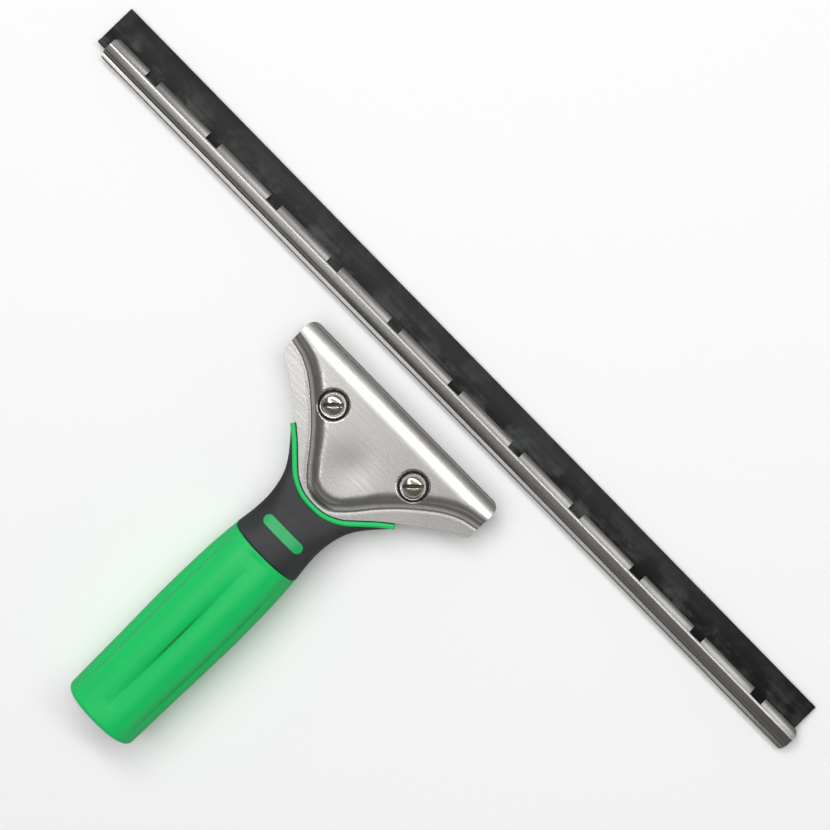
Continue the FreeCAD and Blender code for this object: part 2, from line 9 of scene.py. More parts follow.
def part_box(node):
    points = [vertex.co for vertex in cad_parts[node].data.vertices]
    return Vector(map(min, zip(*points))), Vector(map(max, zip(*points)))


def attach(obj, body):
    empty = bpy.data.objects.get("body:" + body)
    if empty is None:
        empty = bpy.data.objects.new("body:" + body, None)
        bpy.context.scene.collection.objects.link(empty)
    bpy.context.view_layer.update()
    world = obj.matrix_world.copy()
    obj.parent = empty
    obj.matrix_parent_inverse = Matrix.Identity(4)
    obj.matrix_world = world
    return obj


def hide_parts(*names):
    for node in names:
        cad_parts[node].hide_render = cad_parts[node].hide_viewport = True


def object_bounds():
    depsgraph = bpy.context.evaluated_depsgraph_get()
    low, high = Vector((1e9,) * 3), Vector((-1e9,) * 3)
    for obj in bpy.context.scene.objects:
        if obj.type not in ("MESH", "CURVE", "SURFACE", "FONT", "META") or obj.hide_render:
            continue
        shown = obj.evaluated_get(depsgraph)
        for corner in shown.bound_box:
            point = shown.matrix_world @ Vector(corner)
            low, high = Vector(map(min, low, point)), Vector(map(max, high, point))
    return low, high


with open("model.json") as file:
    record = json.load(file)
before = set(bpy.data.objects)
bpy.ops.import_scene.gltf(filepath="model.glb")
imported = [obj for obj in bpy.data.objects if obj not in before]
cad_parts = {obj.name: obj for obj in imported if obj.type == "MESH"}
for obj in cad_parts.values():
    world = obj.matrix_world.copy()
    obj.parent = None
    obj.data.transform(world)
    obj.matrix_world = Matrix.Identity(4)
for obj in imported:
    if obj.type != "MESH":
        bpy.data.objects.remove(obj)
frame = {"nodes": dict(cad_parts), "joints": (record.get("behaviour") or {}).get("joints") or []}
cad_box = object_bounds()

MM = 0.001

# ---- where the clamp is: x along the mouth, v forwards, w up, in the clamp's own leaning plane ----
joints = {j["name"]: j for j in frame["joints"]}
clamp_up = Vector(joints["jaw_slide"]["axis"])
LEAN = math.atan2(clamp_up.y, clamp_up.z)
SCREW_BACK = 19.4 * MM          # screws, behind the clamp's front edge
screw_centres = [Vector(joints[side + "_screw_turn"]["pos_m"]) for side in ("left", "right")]
SCREW_OUT = (screw_centres[1] - screw_centres[0]).length / 2
turn_to_clamp = Matrix.Rotation(-LEAN, 4, "X")
screws_middle = (screw_centres[0] + screw_centres[1]) / 2
mouth_centre = screws_middle + turn_to_clamp @ Vector((0, SCREW_BACK, 0))
CLAMP = Matrix.Translation(mouth_centre) @ turn_to_clamp
JAW_LIFT = 1.0 * MM             # the loose upper jaw stands this far above its clamped place

# ---- jaw plate, as pressed ----
PLATE = 1.2 * MM
HALF_WIDTH = 54.0 * MM
PLATEAU = 7.15 * MM             # outer face above the clamp's middle plane
FLANGE = 4.2 * MM
LIP = 3.6 * MM
ROLL_DEPTH = 10.5 * MM
ROLL_SLOPE = math.radians(24)
NOSE_SLOPE = math.radians(80)
FRONT_CORNER = 4.0 * MM
WALL_RUN = 7.0 * MM
WALL_FALL = 2.6                 # how much of the wall's slope is near its foot
FOOT_ROUND = 0.45 * MM
FOOT_GROOVE = 0.13 * MM         # a shallow groove just outside the wall's foot
GROOVE_OUT = 0.35 * MM
GROOVE_REACH = 0.8 * MM
DISH_MIDDLE = -33.0 * MM        # a slight hollow low in the plateau, where the press bottoms
DISH_RADIUS = 9.0 * MM
DISH_DEPTH = 0.38 * MM
DIMPLE_DEPTH = 2.0 * MM
DIMPLE_FLOOR = 5.3 * MM
DIMPLE_RIM = 7.0 * MM
SCREW_HOLE = 2.8 * MM
CUTTER_REACH = 12.0 * MM        # of a hole's cutter, up and down
FLANGE_EDGE = [(54.0, -18.0), (47.8, -21.6), (40.9, -26.0), (34.1, -31.0), (28.5, -35.4),
               (23.0, -39.9), (18.0, -44.6), (12.4, -49.6), (6.4, -52.5), (0.0, -53.2)]
WALL_FOOT = [(53.9, -12.6), (46.5, -14.4), (40.0, -17.6), (34.0, -22.0), (26.0, -29.0),
             (19.2, -36.2), (12.3, -44.7), (6.6, -50.0), (0.0, -51.7)]

# ---- the plate's grid, as shares of its half width and of its rows from the lip ----
CORNER_FROM = 0.92              # columns past this share turn the front corner
NOSE_ROWS = 0.12                # rows up to this share are on the nose
ROLL_ROWS = 0.3                 # and then up to this share on the roll

# ---- grip: distance behind the collar, half width, half height ----
GRIP_SECTIONS = [(0.0, 16.9, 14.0), (15.0, 18.0, 15.5), (40.0, 18.5, 16.47), (70.0, 18.0, 16.2),
                 (98.4, 17.6, 15.6)]
GRIP_SQUARENESS = 2.3
GRIP_WALL = 2.4 * MM
GRIP_HEIGHT = 16.5 * MM         # of its axis
GRIP_END_ROUND = 2.0 * MM
COLLAR_ROUND = 0.6 * MM
RIM_ROWS = 0.035                # share of the sleeve's rows in each part of its two rims
COLUMN_CROWDING = 0.8           # how far the sleeve's columns crowd towards the creases
GRIP_CREASES = 6
CREASE_REACH = 7.0 * MM         # to each side of a crease's middle
CREASE_DEPTH = 1.7 * MM
CREASE_START = 8.0 * MM         # behind the collar
CREASE_LENGTH = 82.0 * MM
HOLLOW_DEPTH = 0.8 * MM         # the broad hollow that a crease lies in
HOLLOW_START = 3.0 * MM         # it deepens over this, from the collar
HOLLOW_END = 12.0 * MM          # and runs out over this, at the other end

# ---- channel strip, half its section: mm forwards and up from its back edge's middle ----
STRIP = 0.6 * MM
CHANNEL_FOLDS = [(10.8, 1.9), (8.7, 2.44), (6.6, 2.98), (4.0, 2.68), (3.3, 2.45), (2.45, 0.42),
                 (0.65, 0.64)]
FOLD_RADIUS = 0.3 * MM
STRIP_EDGE = 0.2 * MM
NOTCHES = 11
NOTCH_PITCH = 35.3 * MM
NOTCH_WIDTH = 6.4 * MM
NOTCH_DEPTH = 3.3 * MM
LIP_END = 10.8 * MM
CHANNEL_END_CUT = 1.6 * MM

# ---- rubber blade's section, in the same way: bead, waist and blade ----
BLADE_SECTION = [(3.7, 1.6), (4.3, 2.25), (5.7, 2.25), (5.7, 1.25), (6.6, 1.25), (6.6, 1.5),
                 (23.1, 0.95)]
BLADE_EDGE = 0.18 * MM

# ---- clamp screws ----
SCREW_HEAD = 4.4 * MM
SCREW_HEAD_HIGH = 2.4 * MM
SCREW_SEAT_GAP = 0.02 * MM
SCREW_SHANK = 2.5 * MM
SCREW_POINT = 0.4 * MM
SCREW_SLOT = 1.5 * MM
SCREW_SLOT_DEEP = 1.4 * MM
SCREW_TURN = math.radians(45)
SCREW_EDGE = 0.12 * MM
HEAD_FOOT = 0.15                # mm taken off the edge under the head
HEAD_SHOULDER = [(0.0, 1.05), (0.18, 0.72)]     # mm in from the side, mm below the top
# the dome as shares of the radius, and mm below the top
HEAD_DOME = [(0.82, 0.38), (0.62, 0.17), (0.36, 0.05), (0.0, 0.0)]

# ---- trim beads along the flange's edge ----
TRIM_REACH = 28.7 * MM          # to each side of the middle
TRIM_GAP = 0.4 * MM
TRIM_WIDTH = 2.2 * MM
TRIM_FOOT, TRIM_TOP = 2.9 * MM, 5.3 * MM     # above the clamp's middle plane
TRIM_POWER = 0.6                # below 1 the bead's section is squarer than round

# ---- room and camera ----
FLOOR_HALF = 4.0
FLOOR_GAP = 0.05 * MM
WALL_TONES = [(0.0, 0.30), (0.22, 0.60), (0.45, 0.10), (1.0, 0.14)]     # height of the way looked, tone
WALL_TINT = (1.0, 0.99, 0.97)
LENS, SENSOR = 120.0, 36.0
FRAME_WIDTH = 339.8 * MM
HANDLE_RISE = math.radians(44.4)
LOOK_AT = Vector((2.9 * MM, 1.5 * MM, 0))

# ---- colours ----
GREEN, INLAY_GREEN, SCUFFED_GREEN = (0.006, 0.54, 0.125), (0.012, 0.40, 0.11), (0.18, 0.62, 0.34)
JAW_TINT, STRIP_TINT = (0.69, 0.672, 0.645), (0.52, 0.505, 0.485)
# the last of these colours is the painted shade low on the screws
NICKEL, WORN_NICKEL, RECESS_SHADE = (0.70, 0.665, 0.57), (0.42, 0.39, 0.31), (0.03, 0.027, 0.022)
NYLON, POLISHED_NYLON, DUST = (0.021, 0.022, 0.024), (0.034, 0.036, 0.038), (0.2, 0.2, 0.19)
RUBBER, BLOOM = (0.003, 0.0038, 0.0033), (0.066, 0.074, 0.068)
PAPER, PAPER_FLECK = (0.93, 0.93, 0.93), (0.90, 0.90, 0.905)


# ---- small tools ----
def smooth_step(q):
    q = min(max(q, 0.0), 1.0)
    return q * q * (3 - 2 * q)


def curve_through(points):
    """A smooth function of the first coordinate through the points, returning value and slope."""
    pts = sorted(points)
    xs, ys = [p[0] for p in pts], [p[1] for p in pts]
    last = len(xs) - 1
    slopes = []
    for i in range(len(xs)):
        a, b = max(i - 1, 0), min(i + 1, last)
        slopes.append((ys[b] - ys[a]) / (xs[b] - xs[a]))

    def at(x):
        i = 0
        while i < last - 1 and x > xs[i + 1]:
            i += 1
        h = xs[i + 1] - xs[i]
        t = (x - xs[i]) / h
        a, c = ys[i], ys[i + 1] - ys[i]
        m, n = slopes[i] * h, slopes[i + 1] * h
        value = a + t * m + t * t * (3 * c - 2 * m - n) + t ** 3 * (m + n - 2 * c)
        slope = (m + 2 * t * (3 * c - 2 * m - n) + 3 * t * t * (m + n - 2 * c)) / h
        return value, slope

    return at


def metres(points):
    """Plan points in millimetres, with their mirror image, as metres."""
    both = points + [(-x, v) for x, v in points if x > 0]
    return [(x * MM, v * MM) for x, v in both]


def shaded(colour, factor):
    return tuple(c * factor for c in colour)


def piece_from(name, bm, place=None):
    """A bmesh as an object, moved to its place in its mesh."""
    if place is not None:
        bm.transform(place)
    mesh = bpy.data.meshes.new(name)
    bm.to_mesh(mesh)
    bm.free()
    piece = bpy.data.objects.new(name, mesh)
    bpy.context.scene.collection.objects.link(piece)
    return piece


def smooth(piece, degrees):
    """Smooth shading, with edges sharper than degrees kept crisp."""
    piece.data.shade_smooth()
    piece.data.set_sharp_from_angle(angle=math.radians(degrees))


def settle(piece):
    """Applies a piece's modifiers."""
    bpy.context.view_layer.update()
    graph = bpy.context.evaluated_depsgraph_get()
    mesh = bpy.data.meshes.new_from_object(piece.evaluated_get(graph), depsgraph=graph)
    piece.modifiers.clear()
    piece.data = mesh


def thicken(piece, thickness, offset):
    wall = piece.modifiers.new("wall", "SOLIDIFY")
    wall.thickness = thickness
    wall.offset = offset
    wall.use_even_offset = True
    wall.use_rim = True
    settle(piece)


def ease_edges(piece, width, segments, degrees):
    edge = piece.modifiers.new("eased edges", "BEVEL")
    edge.width = width
    edge.segments = segments
    edge.limit_method = "ANGLE"
    edge.angle_limit = math.radians(degrees)
    edge.use_clamp_overlap = True
    settle(piece)


def cut_with(piece, cutters):
    """Cuts the cutters out of a piece and removes them."""
    for cutter in cutters:
        cut = piece.modifiers.new("cut", "BOOLEAN")
        cut.operation = "DIFFERENCE"
        cut.object = cutter
        cut.solver = "EXACT"
    settle(piece)
    for cutter in cutters:
        bpy.data.objects.remove(cutter)


def round_bar(radius, low, high, place, sides=48):
    """A plain round bar along w, used as a cutter."""
    bm = bmesh.new()
    bmesh.ops.create_cone(bm, cap_ends=True, segments=sides, radius1=radius, radius2=radius,
                          depth=high - low)
    bm.transform(Matrix.Translation((0, 0, (low + high) / 2)))
    return piece_from("cutter", bm, place)


def draw_out(bm, drawn, length):
    """Moves along x the corners that an extrusion has just made."""
    moved = [g for g in drawn["geom"] if isinstance(g, bmesh.types.BMVert)]
    bmesh.ops.translate(bm, verts=moved, vec=(length, 0, 0))


# ---- shader maths ----
class Value:
    """A shader socket that can be used in expressions."""

    def __init__(self, nodes, socket):
        self.nodes, self.socket = nodes, socket

    def _maths(self, operation, a, b):
        return self.nodes.node("ShaderNodeMath", {"operation": operation}, {0: a, 1: b})

    def __add__(self, other):
        return self._maths("ADD", self, other)

    def __radd__(self, other):
        return self._maths("ADD", other, self)

    def __sub__(self, other):
        return self._maths("SUBTRACT", self, other)

    def __rsub__(self, other):
        return self._maths("SUBTRACT", other, self)

    def __mul__(self, other):
        return self._maths("MULTIPLY", self, other)

    def __rmul__(self, other):
        return self._maths("MULTIPLY", other, self)

    def size(self):
        return self._maths("ABSOLUTE", self, 0.0)


class Nodes:
    """A node tree whose nodes are made one call at a time."""

    def __init__(self, tree):
        self.tree = tree

    def node(self, kind, settings=None, inputs=None, output=0):
        made = self.tree.nodes.new(kind)
        for key, value in (settings or {}).items():
            if key == "stops":
                self._stops(made.color_ramp, value)
            else:
                setattr(made, key, value)
        for key, value in (inputs or {}).items():
            self.feed(made.inputs[key], value)
        return Value(self, made.outputs[output])

    def _stops(self, ramp, stops):
        """Makes all the stops and then sets them from the lowest up, so their order never changes."""
        while len(ramp.elements) < len(stops):
            ramp.elements.new(1.0)
        for element, (position, colour) in zip(ramp.elements, stops):
            element.position = position
            element.color = (*colour, 1.0)

    def feed(self, socket, value):
        if isinstance(value, Value):
            self.tree.links.new(value.socket, socket)
        elif isinstance(value, tuple) and len(value) == 3 and socket.type == "RGBA":
            socket.default_value = (*value, 1.0)
        else:
            socket.default_value = value


class Finish(Nodes):
    """A material with a Principled shader."""

    def __init__(self, name):
        self.material = bpy.data.materials.new(name)
        self.material.use_nodes = True
        super().__init__(self.material.node_tree)
        self.shader = self.tree.nodes["Principled BSDF"]

    def set(self, **values):
        for key, value in values.items():
            name = key.replace("_", " ").title().replace("Ior", "IOR")
            self.feed(self.shader.inputs[name], value)

    def place(self, turn=(0, 0, 0)):
        """Object coordinates, turned."""
        spot = self.node("ShaderNodeTexCoord", output=3)
        return self.node("ShaderNodeMapping", None, {"Vector": spot, "Rotation": turn})

    def stretched(self, place, by):
        return self.node("ShaderNodeVectorMath", {"operation": "MULTIPLY"}, {0: place, 1: by})

    def noise(self, scale, place, detail=3.0, roughness=0.55, distortion=0.0):
        return self.node("ShaderNodeTexNoise", None,
                         {"Vector": place, "Scale": scale, "Detail": detail,
                          "Roughness": roughness, "Distortion": distortion})

    def blend(self, factor, a, b):
        """Colour a where factor is 0 and b where it is 1."""
        return self.node("ShaderNodeMix", {"data_type": "RGBA"}, {"Factor": factor, 6: a, 7: b},
                         output=2)

    def ramp(self, value, low, high):
        """0 below low and 1 above high, smoothly."""
        return self.node("ShaderNodeMapRange", {"interpolation_type": "SMOOTHSTEP"},
                         {"Value": value, "From Min": low, "From Max": high})

    def bump(self, height, distance, strength):
        self.set(normal=self.node("ShaderNodeBump", None, {"Height": height, "Distance": distance,
                                                           "Strength": strength}))

    def coordinate(self, place, axis):
        return self.node("ShaderNodeSeparateXYZ", None, {"Vector": place}, output=axis)


def brushed_stainless(name, tint, roughness, stretch, lines, contrast, relief):
    """Stainless with brushing along x, whose scales are to the metre, and faint handling marks."""
    f = Finish(name)
    level = f.place(turn=(LEAN, 0, 0))
    fine = f.noise(1.0, f.stretched(level, (stretch, lines, lines)), detail=1.5, roughness=0.6)
    broad = f.noise(1.0, f.stretched(level, (stretch / 2, lines / 3, lines / 3)), detail=3.0)
    cloud = f.noise(38.0, level, detail=5.0, roughness=0.55)
    lined = f.ramp(fine * 0.45 + broad * 0.55, 0.38, 0.62)
    colour = f.blend(lined, shaded(tint, 1 - contrast), tint)
    smudge = f.ramp(cloud, 0.42, 0.72)
    colour = f.blend(smudge * 0.10, colour, shaded(tint, 0.8))
    f.set(base_color=colour, metallic=1.0, roughness=roughness - lined * 0.05 + smudge * 0.04)
    f.bump(fine * 0.3 + broad * 0.7, relief, 0.3)
    return f.material


def plated_steel():
    """Bright nickel on the screws, dulled in patches, with painted shade on everything more than about
    a millimetre below the head's top: the slot's floor, the head's foot in its dimple, the shank and
    the nuts.
    """
    f = Finish("nickel plate")
    place = f.place()
    cloud = f.noise(620.0, place, detail=4.0)
    turned = f.noise(1900.0, place, detail=2.0)
    worn = f.ramp(cloud, 0.48, 0.72)
    head_top = JAW_LIFT + PLATEAU - DIMPLE_DEPTH + SCREW_HEAD_HIGH
    top = (turn_to_clamp.inverted() @ mouth_centre).z + head_top
    height = f.coordinate(f.place(turn=(LEAN, 0, 0)), 2)
    # painted shade: darker from 0.8 mm below the head's top and fully dark past 1.35 mm, for the shade
    # in the slot and down in the dimple
    painted_shade = 1 - f.ramp(height, top - 1.35 * MM, top - 0.8 * MM)
    colour = f.blend(worn * 0.6, NICKEL, WORN_NICKEL)
    f.set(base_color=f.blend(painted_shade * 0.92, colour, RECESS_SHADE), metallic=1.0,
          roughness=0.12 + worn * 0.12 + painted_shade * 0.3)
    f.bump(cloud * 0.6 + turned * 0.4, 0.008 * MM, 0.3)
    return f.material


def soft_grip(name, green, roughness, creased=False):
    """Soft moulded rubber: faint mottling, a very fine matt skin, and, if creased, painted shade along
    the top and bottom creases.
    """
    f = Finish(name)
    place = f.place()
    skin = f.noise(2600.0, place, detail=3.0, roughness=0.6)
    mottle = f.noise(90.0, place, detail=4.0)
    scuff = f.ramp(f.noise(420.0, place, detail=5.0, roughness=0.65), 0.62, 0.78)
    colour = f.blend(f.ramp(mottle, 0.3, 0.7) * 0.25, green, shaded(green, 0.88))
    colour = f.blend(scuff * 0.06, colour, SCUFFED_GREEN)
    if creased:
        # painted shade: a narrow dark line down the middle of the top and bottom creases, fading out
        # towards the collar and the end
        across, along = f.coordinate(place, 0), f.coordinate(place, 1)
        narrow = 1 - f.ramp((across - GRIP_X).size(), 0.15 * MM, 0.9 * MM)
        from_end = f.ramp(along, COLLAR_Y - 84 * MM, COLLAR_Y - 50 * MM)
        from_collar = f.ramp(COLLAR_Y - 14 * MM - along, 0.0, 34 * MM)
        painted_shade = narrow * (from_end * from_collar)
        colour = f.blend(painted_shade * 0.75, colour, shaded(green, 0.45))
    f.set(base_color=colour, roughness=roughness + (mottle - 0.5) * 0.12 + scuff * 0.08)
    f.set(specular_ior_level=0.42)
    f.bump(skin + mottle * 0.4, 0.035 * MM, 0.5)
    return f.material


def moulded_plastic():
    """The dark handle core: spark-eroded texture, slightly lighter in random patches."""
    f = Finish("dark nylon")
    place = f.place()
    grain = f.noise(1700.0, place, detail=4.0, roughness=0.65)
    cloud = f.noise(45.0, place, detail=3.0)
    dust = f.ramp(f.noise(900.0, place, detail=2.0), 0.68, 0.8)
    colour = f.blend(f.ramp(cloud, 0.35, 0.7), NYLON, POLISHED_NYLON)
    colour = f.blend(dust * 0.12, colour, DUST)
    f.set(base_color=colour, roughness=0.5 + (grain - 0.5) * 0.2 + cloud * 0.06)
    f.bump(grain, 0.05 * MM, 0.6)
    return f.material


def blade_rubber():
    """Black rubber with a dusty bloom in wiped streaks and patches, cleaner near its wiping edge."""
    f = Finish("blade rubber")
    place = f.place()
    streak = f.noise(1.0, f.stretched(place, (38.0, 420.0, 420.0)), detail=5.0, roughness=0.65)
    cloud = f.noise(75.0, place, detail=5.0, roughness=0.6, distortion=0.4)
    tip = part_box("rubber_blade")[1].y
    clean = f.ramp(f.coordinate(place, 1), tip - 11 * MM, tip - 3 * MM)
    bloom = f.ramp(streak * 0.35 + cloud * 0.65, 0.45, 0.62) * (1 - clean * 0.7)
    colour = f.blend(bloom * 0.75, RUBBER, BLOOM)
    f.set(base_color=colour, roughness=0.44 + bloom * 0.18)
    f.set(specular_ior_level=0.3)
    f.bump(streak * 0.6 + f.noise(1500.0, place) * 0.4, 0.03 * MM, 0.5)
    return f.material


def pale_floor():
    f = Finish("pale floor")
    paper = f.noise(300.0, f.place(), detail=3.0)
    f.set(base_color=f.blend(paper * 0.3, PAPER, PAPER_FLECK), roughness=0.9)
    f.set(specular_ior_level=0.1)
    return f.material


# ---- jaws ----
def roll_radii():
    """Radii of the nose and the roll, so that the plate falls from plateau to lip in ROLL_DEPTH."""
    a, b = math.sin(ROLL_SLOPE), math.sin(NOSE_SLOPE) - math.sin(ROLL_SLOPE)
    c, d = 1 - math.cos(ROLL_SLOPE), math.cos(ROLL_SLOPE) - math.cos(NOSE_SLOPE)
    fall = PLATEAU - LIP
    roll = (ROLL_DEPTH * d - b * fall) / (a * d - b * c)
    return (ROLL_DEPTH - a * roll) / b, roll


NOSE_RADIUS, ROLL_RADIUS = roll_radii()
NOSE_RUN = NOSE_RADIUS * (NOSE_SLOPE - ROLL_SLOPE)
ROLL_RUN = ROLL_RADIUS * ROLL_SLOPE
ROLL_CENTRE = (-ROLL_DEPTH, PLATEAU - ROLL_RADIUS)
NOSE_CENTRE = (ROLL_CENTRE[0] + (ROLL_RADIUS - NOSE_RADIUS) * math.sin(ROLL_SLOPE),
               ROLL_CENTRE[1] + (ROLL_RADIUS - NOSE_RADIUS) * math.cos(ROLL_SLOPE))
flange_edge = curve_through(metres(FLANGE_EDGE))
wall_foot = curve_through(metres(WALL_FOOT))
foot_reach = WALL_FOOT[0][0] * MM


def on_arc(centre, radius, slope):
    return centre[0] + radius * math.sin(slope), centre[1] + radius * math.cos(slope)


def along_profile(run):
    """(v, w) on the plate's front-to-back profile, at a distance along it from the lip."""
    if run < NOSE_RUN:
        return on_arc(NOSE_CENTRE, NOSE_RADIUS, NOSE_SLOPE - run / NOSE_RADIUS)
    run -= NOSE_RUN
    if run < ROLL_RUN:
        return on_arc(ROLL_CENTRE, ROLL_RADIUS, ROLL_SLOPE - run / ROLL_RADIUS)
    return -ROLL_DEPTH - (run - ROLL_RUN), PLATEAU


def run_at(v):
    """The distance along the profile at which it reaches v."""
    nose = (v - NOSE_CENTRE[0]) / NOSE_RADIUS
    if nose > math.sin(ROLL_SLOPE):
        return (NOSE_SLOPE - math.asin(min(nose, math.sin(NOSE_SLOPE)))) * NOSE_RADIUS
    roll = (v - ROLL_CENTRE[0]) / ROLL_RADIUS
    if roll > 0:
        return NOSE_RUN + (ROLL_SLOPE - math.asin(roll)) * ROLL_RADIUS
    return NOSE_RUN + ROLL_RUN - (v + ROLL_DEPTH)


def jaw_column(u):
    """x of a column of the plate, and how far back its front end is, with u from -1 to 1."""
    flat = HALF_WIDTH - FRONT_CORNER
    if abs(u) <= CORNER_FROM:
        return u / CORNER_FROM * flat, 0.0
    turn = (abs(u) - CORNER_FROM) / (1 - CORNER_FROM) * math.pi / 2
    x = flat + FRONT_CORNER * math.sin(turn)
    return math.copysign(x, u), -FRONT_CORNER * (1 - math.cos(turn))


def wall_rise(inside):
    """Share of the wall's height at a distance inside its foot: steep there, then a shoulder."""
    foot = (inside + math.sqrt(inside * inside + FOOT_ROUND * FOOT_ROUND)) / 2
    return 1 - (1 - min(foot / WALL_RUN, 1)) ** WALL_FALL


def jaw_run(front, edge, t):
    """The distance along the profile of grid row t, from the lip at 0 to the flange's edge at 1."""
    start, end = run_at(front), run_at(edge)
    roll_end = NOSE_RUN + ROLL_RUN
    nose_end = max(NOSE_RUN, start + NOSE_ROWS * (roll_end - start))
    if t < NOSE_ROWS:
        return start + (nose_end - start) * t / NOSE_ROWS
    if t < ROLL_ROWS:
        return nose_end + (roll_end - nose_end) * (t - NOSE_ROWS) / (ROLL_ROWS - NOSE_ROWS)
    return roll_end + (end - roll_end) * (t - ROLL_ROWS) / (1 - ROLL_ROWS)


def jaw_surface(u, t, dimples):
    """A point of the plate's outer face: u across from -1 to 1, t as for jaw_run."""
    x, front = jaw_column(u)
    v, w = along_profile(jaw_run(front, flange_edge(x)[0], t))
    foot, slope = wall_foot(max(-foot_reach, min(foot_reach, x)))
    inside = (v - foot) / math.sqrt(1 + slope * slope)
    if w > FLANGE or v < -ROLL_DEPTH:
        w = FLANGE + (w - FLANGE) * wall_rise(inside)
        w -= DISH_DEPTH * math.exp(-(math.hypot(x, v - DISH_MIDDLE) / DISH_RADIUS) ** 2)
        w -= FOOT_GROOVE * math.exp(-((inside + GROOVE_OUT) / GROOVE_REACH) ** 2)
    if dimples:
        for side in (-1, 1):
            away = math.hypot(x - side * SCREW_OUT, v + SCREW_BACK)
            rise = smooth_step((away - DIMPLE_FLOOR) / (DIMPLE_RIM - DIMPLE_FLOOR))
            w -= DIMPLE_DEPTH * (1 - rise)
    return Vector((x, v, w))


def jaw(name, node, body, side, lift, material, across=280, back=146):
    """One pressed plate, with side 1 for the upper jaw and -1 for the lower."""
    bm = bmesh.new()
    bmesh.ops.create_grid(bm, x_segments=across, y_segments=back, size=1.0)
    for vert in bm.verts:
        vert.co = jaw_surface(vert.co.x, (1 - vert.co.y) / 2, dimples=side > 0)
    bm.transform(Matrix.Diagonal((1, 1, side, 1)))
    if side < 0:
        bmesh.ops.reverse_faces(bm, faces=bm.faces)
    place = CLAMP @ Matrix.Translation((0, 0, lift))
    plate = piece_from(name, bm, place)
    thicken(plate, PLATE, -1)
    cutters = []
    for out in (-SCREW_OUT, SCREW_OUT):
        spot = place @ Matrix.Translation((out, -SCREW_BACK, 0))
        cutters.append(round_bar(SCREW_HOLE, -CUTTER_REACH, CUTTER_REACH, spot))
    cut_with(plate, cutters)
    smooth(plate, 40)
    plate.data.materials.append(material)
    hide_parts(node)
    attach(plate, body)


# ---- grip ----
grip_low, grip_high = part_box("grip_sleeve")
GRIP_X = (grip_low.x + grip_high.x) / 2
COLLAR_Y = grip_high.y
GRIP_LENGTH = grip_high.y - grip_low.y
half_width = curve_through([(s * MM, w * MM) for s, w, h in GRIP_SECTIONS])
half_height = curve_through([(s * MM, h * MM) for s, w, h in GRIP_SECTIONS])


def crease_depth(back, away):
    """How deep the grip's creases are, at a distance behind the collar and from a crease's middle."""
    q = min(away / CREASE_REACH, 1.0)
    along = min(max((back - CREASE_START) / CREASE_LENGTH, 0), 1)
    sharp = CREASE_DEPTH * math.sin(math.pi * along) ** 0.7 * (1 - q) ** 5
    ends = smooth_step(back / HOLLOW_START) * smooth_step((GRIP_LENGTH - back) / HOLLOW_END)
    return sharp + HOLLOW_DEPTH * ends * (0.5 + 0.5 * math.cos(math.pi * q))


def oval(turn, back, inset):
    """A point of the grip's outline, turn measured from the top, with the outline moved in by inset."""
    w, h = half_width(back)[0] - inset, half_height(back)[0] - inset
    s, c = math.sin(turn), math.cos(turn)
    x = math.copysign(abs(s) ** (2 / GRIP_SQUARENESS), s) * w
    z = math.copysign(abs(c) ** (2 / GRIP_SQUARENESS), c) * h
    return x, z


def grip_row(t):
    """Distance behind the collar, and inset, by t from the collar's inner edge, over the outside, to
    the end's inner edge."""
    lip, edge, end_round = RIM_ROWS, COLLAR_ROUND, GRIP_END_ROUND
    if t < lip:
        return 0.0, GRIP_WALL + (edge - GRIP_WALL) * t / lip
    if t < 2 * lip:
        q = (t - lip) / lip * math.pi / 2
        return edge * (1 - math.cos(q)), edge * (1 - math.sin(q))
    if t < 1 - 2 * lip:
        q = (t - 2 * lip) / (1 - 4 * lip)
        return edge + (GRIP_LENGTH - end_round - edge) * q, 0.0
    if t < 1 - lip * 0.5:
        q = (t - 1 + 2 * lip) / (1.5 * lip) * math.pi / 2
        return GRIP_LENGTH - end_round * (1 - math.sin(q)), end_round * (1 - math.cos(q))
    q = (t - 1 + 0.5 * lip) / (0.5 * lip)
    return GRIP_LENGTH, end_round + (GRIP_WALL - end_round) * q


def grip_point(turn, t):
    """A point of the sleeve: round it by turn, and over it by t."""
    back, inset = grip_row(t)
    x, z = oval(turn, back, inset)
    if inset < GRIP_WALL * 0.9:
        step = 2 * math.pi / GRIP_CREASES
        phase = abs((turn + step / 2) % step - step / 2)
        radius = math.hypot(x, z)
        depth = crease_depth(back, phase * radius) * (1 - inset / GRIP_WALL)
        x, z = x * (1 - depth / radius), z * (1 - depth / radius)
    return Vector((GRIP_X + x, COLLAR_Y - back, GRIP_HEIGHT + z))


def grip(material, around=264, along=150):
    bm = bmesh.new()
    bmesh.ops.create_grid(bm, x_segments=around, y_segments=along, size=0.5)
    for vert in bm.verts:
        turn = (vert.co.x + 0.5) * 2 * math.pi
        turn -= COLUMN_CROWDING * math.sin(GRIP_CREASES * turn) / GRIP_CREASES
        vert.co = grip_point(turn, vert.co.y + 0.5)
    bmesh.ops.remove_doubles(bm, verts=bm.verts, dist=0.01 * MM)
    rims = [e for e in bm.edges if e.is_boundary]
    bmesh.ops.bridge_loops(bm, edges=rims)
    bmesh.ops.recalc_face_normals(bm, faces=bm.faces)
    sleeve = piece_from("grip_sleeve_moulded", bm)
    smooth(sleeve, 60)
    sleeve.data.materials.append(material)
    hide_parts("grip_sleeve")
    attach(sleeve, "handle")


# ---- blade channel ----
channel_low, channel_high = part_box("steel_channel")
CHANNEL_X = (channel_low.x + channel_high.x) / 2
CHANNEL_LENGTH = channel_high.x - channel_low.x


def channel_place():
    """The channel's own frame: x from its middle, forwards from its back edge, up."""
    corners = [turn_to_clamp.inverted() @ (v.co - mouth_centre)
               for v in frame["nodes"]["steel_channel"].data.vertices]
    ahead = min(c.y for c in corners)
    return CLAMP @ Matrix.Translation((CHANNEL_X - mouth_centre.x, ahead, 0))


